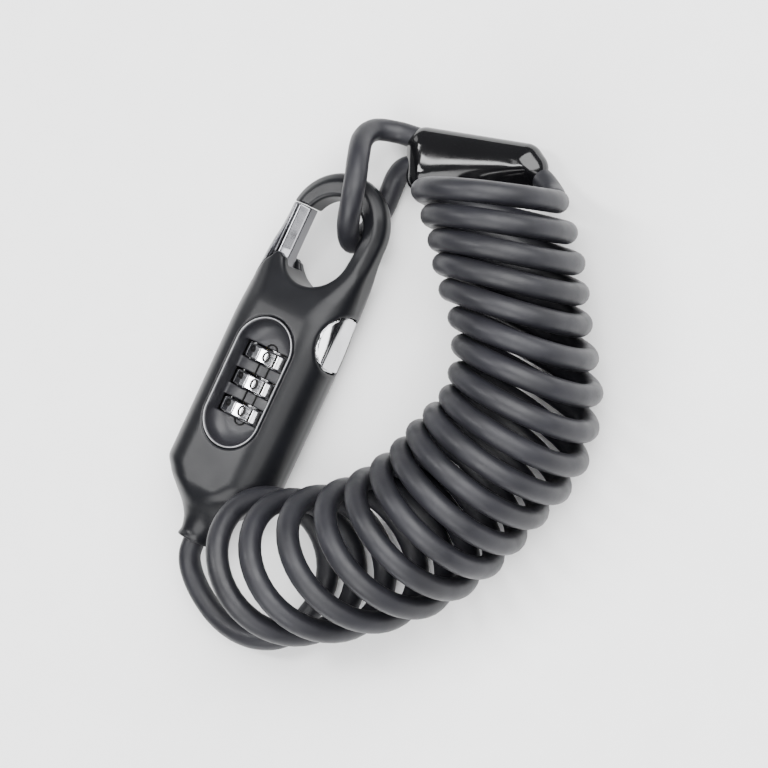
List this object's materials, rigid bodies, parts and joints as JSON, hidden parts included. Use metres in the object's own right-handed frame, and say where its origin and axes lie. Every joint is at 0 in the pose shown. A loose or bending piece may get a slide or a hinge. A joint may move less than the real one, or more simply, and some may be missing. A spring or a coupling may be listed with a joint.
{
  "type": "cable lock",
  "caption": "Cable lock with a snap-gate ring body, number wheels in a window and a coiled coated cable that ends in a moulded eye.",
  "frame": {"origin": "middle of the lock body's box, on the surface it lies on", "axes": "+Y along the lock towards the ring, +X towards the release button, +Z out of the window"},
  "size_m": [0.0939, 0.1263, 0.0353],
  "materials": {
    "body_black": "satin black coating",
    "rivet_steel": "pressed steel",
    "window_grey": "fine matte dark grey",
    "wheel_chrome": "bright nickel plating",
    "brass": "turned brass",
    "steel": "bare steel",
    "spring_steel": "spring steel",
    "dark_chrome": "polished dark nickel",
    "button_chrome": "bright chrome",
    "cable_pvc": "matte coated cable",
    "sleeve_black": "glossy moulded plastic"
  },
  "bodies": {
    "root": {"front_shell": "body_black", "rear_cover": "body_black", "cover_rivets": "rivet_steel", "window_insert": "window_grey", "spindle_spring": "spring_steel", "detent_spring": "spring_steel", "gate_pin": "steel", "gate_spring": "spring_steel", "button_spring": "spring_steel", "cable_stop": "steel", "tail_bush": "sleeve_black", "cable_lead": "cable_pvc", "cable_coil": "cable_pvc", "cable_lead_out": "cable_pvc", "eye_loop": "cable_pvc", "eye_sleeve": "sleeve_black", "crimp_ferrule": "steel"},
    "wheel_1": {"dial_1": "wheel_chrome", "dial_hub_1": "brass"},
    "wheel_2": {"dial_2": "wheel_chrome", "dial_hub_2": "brass"},
    "wheel_3": {"dial_3": "wheel_chrome", "dial_hub_3": "brass"},
    "spindle_body": {"spindle": "steel"},
    "gate_body": {"gate": "dark_chrome"},
    "button_body": {"release_button": "button_chrome", "cross_slide": "steel"},
    "reset_body": {"reset_cam": "button_chrome"}
  },
  "joints": [
    {"name": "button_press", "type": "slide", "parent": "root", "child": "button_body", "axis": [-1, 0, 0], "range_m": [0, 0.0026], "stiffness_N_per_m": 900, "springref_m": -0.0015, "deforming": ["button_spring"]},
    {"name": "gate_swing", "type": "hinge", "parent": "root", "child": "gate_body", "pos_m": [-0.0092, 0.018, 0.0085], "axis": [0, 0, -1], "range_deg": [0, 28.5], "deforming": ["gate_spring"]},
    {"name": "spindle_slide", "type": "slide", "parent": "root", "child": "spindle_body", "axis": [0, -1, 0], "range_m": [0, 0.0014], "deforming": ["spindle_spring"]},
    {"name": "wheel_1_turn", "type": "hinge", "parent": "root", "child": "wheel_1", "pos_m": [0, -0.0134, 0.0091], "axis": [0, 1, 0], "continuous": true},
    {"name": "wheel_2_turn", "type": "hinge", "parent": "root", "child": "wheel_2", "pos_m": [0, -0.0069, 0.0091], "axis": [0, 1, 0], "continuous": true},
    {"name": "wheel_3_turn", "type": "hinge", "parent": "root", "child": "wheel_3", "pos_m": [0, -0.0004, 0.0091], "axis": [0, 1, 0], "continuous": true},
    {"name": "reset_turn", "type": "hinge", "parent": "root", "child": "reset_body", "pos_m": [-0.0135, -0.0212, 0.0085], "axis": [1, 0, 0], "range_deg": [0, 90]}
  ],
  "couplings": [
    {"joint": "gate_swing", "follows": "button_press", "rad_per_m": 188},
    {"joint": "spindle_slide", "follows": "button_press", "ratio": 0.5}
  ]
}
